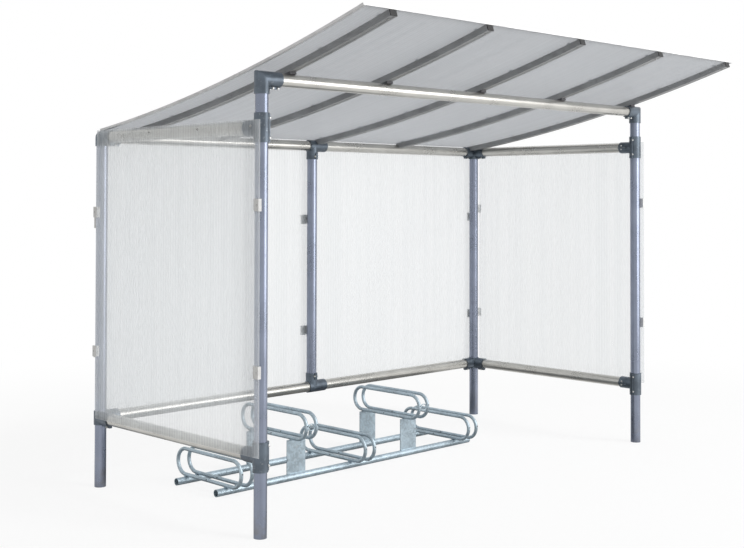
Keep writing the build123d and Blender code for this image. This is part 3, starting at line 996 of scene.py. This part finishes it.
class SHELTER_OT_screws(bpy.types.Operator):
    """Make the screws of the clips, the sheets and the rafters, and the clips under them"""

    bl_idname = "shelter.screws"
    bl_label = "Clips and screws"

    head_height = 0.003
    drive_share = 0.34
    drive_depth = 0.7
    washer_spread = 1.7
    washer_height = 0.6
    cap_height = 1.3
    edge = 0.3
    cap_edge = 0.16
    clip_setback = 0.0008
    front_clip_lead = 0.026
    rear_clip_lead = 0.006
    rail_screw_drop = 0.029
    rail_screw_pitch = 0.40
    rail_screw_lead = 0.022
    side_screws = 3
    roof_shares = (0.04, 0.23, 0.42, 0.61, 0.80, 0.97)
    under_shares = (0.018, 0.66, 0.78)
    rafter_height = 0.030

    def execute(self, context):
        plated = plated_finish("plated_screws", shade(colours().bolt, 0.75))
        pan = self.pan_screw()
        capped = self.capped_screw()
        arc = RoofArc()
        under = self.along_rafters(arc, self.under_shares, arc.low_radius + self.rafter_height, 1)
        above = self.along_rafters(arc, self.roof_shares, arc.top_radius, -1)
        groups = {
            "clip_screws": (pan, self.clip_places(), "clip"),
            "sheet_screws": (pan, self.sheet_places(), "wall_sheet"),
            "rafter_screws": (pan, under, "rafter"),
            "roof_screws": (capped, above, "roof_sheet"),
        }
        for name, (pattern, places, slot) in groups.items():
            dress(joined(placed(pattern, places), name), plated, slot)
        remove(pan)
        remove(capped)
        moulded = moulded_finish("white_clip", colours().clip, 0.38)
        dress(self.set_back_clips(), moulded, "clip", "panel_clips")
        return {"FINISHED"}

    def pan_screw(self):
        """A round head with a hollow drive, its seat at the origin and its head along Z."""
        radius = sizes().screw_head / 2
        turned(18, 0.0, radius, self.head_height, self.edge)
        edit()
        select("FACE", lambda face: all(v.co.z > self.head_height - TOUCH for v in face.verts))
        bpy.ops.mesh.inset(thickness=radius * self.drive_share)
        way = (0, 0, -self.head_height * self.drive_depth)
        bpy.ops.mesh.extrude_region_move(TRANSFORM_OT_translate={"value": way})
        return finish_editing("pan_screw", EDGE_ANGLE)

    def capped_screw(self):
        """A hexagon head on a wide sealing washer."""
        radius = sizes().screw_head / 2
        washer_top = self.head_height * self.washer_height
        washer = turned(24, 0.0, radius * self.washer_spread, washer_top, self.edge)
        head = turned(6, washer_top, radius, self.head_height * self.cap_height, self.cap_edge)
        return joined([washer, head], "capped_screw")

    def clip_places(self):
        """On each clip's outer face: beside the front and back posts, or in the middle behind.

        The heads end where the CAD clips end, over the set-back faces.
        """
        places = []
        for low, high in boxes_of("panel_clips"):
            centre = (low + high) / 2
            if abs(centre.x) > RIGHT_X + TUBE_RADIUS / 2:
                outward = RIGHT if centre.x > 0 else -RIGHT
                face = high.x if centre.x > 0 else low.x
                lead = FRONT_Y - self.front_clip_lead if centre.y < 0 else BACK_Y - self.rear_clip_lead
                origin = Vector((face, lead, centre.z))
            else:
                outward = BACK
                origin = Vector((centre.x, high.y, centre.z))
            places.append(facing(origin - outward * self.head_height, outward))
        return places

    def set_back_clips(self):
        """The clips with their outer faces set back, so that the screw heads stand on them."""
        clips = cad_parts["panel_clips"].copy()
        clips.data = clips.data.copy()
        link(clips)
        deselect()
        clips.select_set(True)
        bpy.context.view_layer.objects.active = clips
        boxes = boxes_of("panel_clips")
        side_face = max(abs(low.x) for low, high in boxes)
        back_face = max(high.y for low, high in boxes)
        edit()
        for sign in (-1, 1):
            select("VERT", lambda v: v.co.x * sign > side_face - TOUCH)
            bpy.ops.transform.translate(value=(-sign * self.clip_setback, 0, 0))
        select("VERT", lambda v: v.co.y > back_face - TOUCH)
        bpy.ops.transform.translate(value=(0, -self.clip_setback, 0))
        return finish_editing("panel_clips_moulded")

    def sheet_places(self):
        """Along the upper rails, through the side and back sheets."""
        places = []
        for name in WALL_SHEETS:
            low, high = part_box(name)
            z = high.z - self.rail_screw_drop
            if high.x - low.x > high.y - low.y:
                count = round((high.x - low.x) / self.rail_screw_pitch)
                pitch = (high.x - low.x) / count
                places += [facing((low.x + pitch * (step + 0.5), high.y, z), BACK) for step in range(count)]
                continue
            outward, face = (-RIGHT, low.x) if low.x < 0 else (RIGHT, high.x)
            for step in range(self.side_screws):
                y = FRONT_Y + self.rail_screw_lead + step * self.rail_screw_pitch
                places.append(facing((face, y, z), outward))
        return places

    def along_rafters(self, arc, shares, radius, way):
        """At shares of each rafter, facing out of the curve or, where way is -1, into it."""
        spots = [arc.surface(x, part, radius) for x in RAFTER_XS for part in shares]
        return [facing(origin, outward * way) for origin, outward in spots]


class SHELTER_OT_roof_edges(bpy.types.Operator):
    """Make the thin profiles that close the roof's two side edges"""

    bl_idname = "shelter.roof_edges"
    bl_label = "Roof edges"

    wall = 0.001
    lip = 0.014
    steps = 24

    def execute(self, context):
        finish = extrusion_finish("side_edge_profile", shade(colours().strip, 0.62))
        arc = RoofArc()
        bands = (
            (self.lip, arc.top_radius - self.wall, self.wall),
            (self.lip, arc.low_radius, self.wall),
            (self.wall, arc.top_radius, arc.thickness),
        )
        sheets = boxes_of("roof_sheets")
        left = min(low.x for low, high in sheets)
        right = max(high.x for low, high in sheets)
        pieces = []
        for edge, inward in ((left, 1), (right, -1)):
            outside = edge - inward * self.wall
            for width, inner, height in bands:
                pieces.append(self.band(arc, outside + inward * width / 2, width, inner, height))
        dress(joined(pieces, "roof_side_profiles"), finish, "edge_strip")
        return {"FINISHED"}

    def band(self, arc, x, width, inner, height):
        """A strip that follows the roof, its middle at x, from an inner radius out for a height."""
        deselect()
        bpy.ops.mesh.primitive_plane_add(size=1, location=(0, height / 2, 0))
        bpy.context.active_object.scale = (width, height, 1)
        finish_editing("band")
        edit()
        select_all()
        bpy.ops.mesh.spin(steps=self.steps, angle=-arc.angle, center=(0, -inner, 0), axis=(1, 0, 0))
        select_all()
        bpy.ops.mesh.remove_doubles(threshold=TOUCH)
        bpy.ops.mesh.normals_make_consistent(inside=False)
        strip = finish_editing("band", EDGE_ANGLE)
        radial = Matrix.Translation((0, inner - arc.top_radius, 0))
        strip.data.transform(arc.front_top_frame(x) @ radial)
        return strip


class SHELTER_OT_rack_details(bpy.types.Operator):
    """Make the rack's drain holes as discs of painted shade, and its weld beads and lock rings"""

    bl_idname = "shelter.rack_details"
    bl_label = "Rack details"

    raised_from = 0.1
    hole_share = 0.52
    hole_slant = Vector((-0.9, 0, 0.44)).normalized()
    hole_sink = 0.0006
    hole_height = 0.0009
    hole_corners = 14
    hole_edge = 0.2
    bead_radius = 0.0032
    bead_corners = 8
    bead_angle = radians(80)
    bead_length = 0.018
    bead_lumps = 3
    bead_offset = 0.001
    bead_rise = 0.0022
    bead_spread = 0.8
    plate_inset = 0.030
    foot_share = 0.96
    foot_lumps = 20
    end_share = 0.45
    valley_share = 0.74
    ring_bar = 0.0035
    ring_sink = 0.6
    ring_squash = 0.78
    ring_steps = 36
    bar_steps = 10

    def execute(self, context):
        zinc = galvanised_finish("galvanised_details", shade(colours().zinc, 1.05))
        # The drain holes are near-black discs on the tubes: painted shade of their hollow insides.
        dark = moulded_finish("painted_hole_shade", shade(colours().cap, 1.5), 0.7)
        dress(joined(self.holes(), "drain_holes"), dark, "galvanised")
        dress(joined(self.beads(), "weld_beads"), zinc, "galvanised")
        dress(joined(self.rings(), "lock_rings"), zinc, "galvanised")
        return {"FINISHED"}

    def tubes(self, node):
        """The two tubes' X places, with the box they share."""
        low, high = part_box(node)
        radius = sizes().loop_tube / 2
        return (low.x + radius, high.x - radius), low, high

    def spread(self, pattern, places):
        """Copies of a pattern at each place, without the pattern itself."""
        copies = placed(pattern, places)
        remove(pattern)
        return copies

    def holes(self):
        """On each loop, a dark disc of painted shade for one hole in the lower run's left side and one on
        the front bend.
        """
        radius = sizes().loop_tube / 2
        places = []
        for node in LOOP_PLACES:
            xs, low, high = self.tubes(node)
            run_y = low.y + (high.y - low.y) * self.hole_share
            for x in xs:
                run = Vector((x, run_y, low.z + radius))
                places.append(facing(run + self.hole_slant * radius, self.hole_slant))
                places.append(facing((x, low.y, (low.z + high.z) / 2 + radius), -BACK))
        hole_radius = sizes().vent_hole / 2
        hole = turned(self.hole_corners, -self.hole_sink, hole_radius, self.hole_height, self.hole_edge)
        return self.spread(hole, places)

    def bead(self, length, lumps):
        """A weld bead along Z with a ripple for each lump."""
        deselect()
        bpy.ops.mesh.primitive_cylinder_add(
            vertices=self.bead_corners, radius=self.bead_radius, depth=length
        )
        edit()
        select("EDGE", lambda edge: edge_runs(edge, 2))
        levels = 2 * lumps
        bpy.ops.mesh.subdivide(number_cuts=levels - 1)
        step = length / levels
        for level in range(levels + 1):
            height = level * step - length / 2
            share = 1.0 if level % 2 else self.valley_share
            if level in (0, levels):
                share = self.end_share
            select("VERT", lambda v: abs(v.co.z - height) < step / 4)
            bpy.ops.transform.resize(value=(share, share, 1), center_override=(0, 0, height))
        return finish_editing("bead", self.bead_angle)

    def beads(self):
        """Beads on both sides of the low loops' seats, and round the raised loops' plates."""
        reach = sizes().loop_tube / 2 * self.bead_spread
        places = []
        for node in LOOP_PLACES:
            xs, low, high = self.tubes(node)
            if low.z > self.raised_from:
                continue
            for ground_low, ground_high in boxes_of("rack_ground_tubes"):
                y = (ground_low.y + ground_high.y) / 2
                for x in (xs[0] - reach, xs[0] + reach, xs[1] - reach, xs[1] + reach):
                    places.append(facing((x, y, low.z + self.bead_rise), BACK))
        plates = boxes_of("rack_uprights")
        feet = []
        for low, high in plates:
            for y in (low.y - self.bead_offset, high.y + self.bead_offset):
                feet.append(facing(((low.x + high.x) / 2, y, low.z + self.bead_offset), RIGHT))
                for x in (low.x + self.plate_inset, high.x - self.plate_inset):
                    places.append(facing((x, y, high.z - self.bead_offset), RIGHT))
        foot_length = (plates[0][1].x - plates[0][0].x) * self.foot_share
        seams = self.spread(self.bead(foot_length, self.foot_lumps), feet)
        return self.spread(self.bead(self.bead_length, self.bead_lumps), places) + seams

    def rings(self):
        """An upright oval ring between the front bends of each raised pair."""
        radius = sizes().loop_tube / 2
        rings = []
        for node in LOOP_PLACES:
            xs, low, high = self.tubes(node)
            if low.z < self.raised_from:
                continue
            centre = Vector(((low.x + high.x) / 2, low.y + radius, (low.z + high.z) / 2))
            reach = (xs[1] - xs[0]) / 2 - radius - self.ring_bar * self.ring_sink
            ring(centre, (pi / 2, 0, 0), reach, self.ring_bar, self.ring_steps, self.bar_steps)
            finish_editing("ring")
            edit()
            select_all()
            bpy.ops.transform.resize(value=(1, 1, self.ring_squash), center_override=tuple(centre))
            rings.append(finish_editing("ring", TUBE_ANGLE))
        return rings


PIECE_OPERATORS = (
    SHELTER_OT_stage,
    SHELTER_OT_frame_finishes,
    SHELTER_OT_sheets,
    SHELTER_OT_roof_edges,
    SHELTER_OT_wheel_loops,
    SHELTER_OT_rack_details,
    SHELTER_OT_clamp_bolts,
    SHELTER_OT_screws,
)


class SHELTER_PT_pieces(bpy.types.Panel):
    """Lists the shelter's pieces with their sizes and colours"""

    bl_label = "Bike shelter"
    bl_idname = "SHELTER_PT_pieces"
    bl_space_type = "VIEW_3D"
    bl_region_type = "UI"
    bl_category = "Shelter"

    def draw(self, context):
        for operator in PIECE_OPERATORS:
            self.layout.operator(operator.bl_idname)
        for group in (context.scene.shelter_sizes, context.scene.shelter_colours):
            box = self.layout.box()
            for name in group.__annotations__:
                box.prop(group, name)


CLASSES = (ShelterSizes, ShelterColours, *PIECE_OPERATORS, SHELTER_PT_pieces)


def register():
    for cls in CLASSES:
        bpy.utils.register_class(cls)
    bpy.types.Scene.shelter_sizes = bpy.props.PointerProperty(type=ShelterSizes)
    bpy.types.Scene.shelter_colours = bpy.props.PointerProperty(type=ShelterColours)


def unregister():
    del bpy.types.Scene.shelter_colours
    del bpy.types.Scene.shelter_sizes
    for cls in reversed(CLASSES):
        bpy.utils.unregister_class(cls)


def main():
    register()
    bpy.ops.shelter.stage()
    bpy.ops.shelter.frame_finishes()
    bpy.ops.shelter.sheets()
    bpy.ops.shelter.roof_edges()
    bpy.ops.shelter.wheel_loops()
    bpy.ops.shelter.rack_details()
    bpy.ops.shelter.clamp_bolts()
    bpy.ops.shelter.screws()


if __name__ == "__main__":
    main()
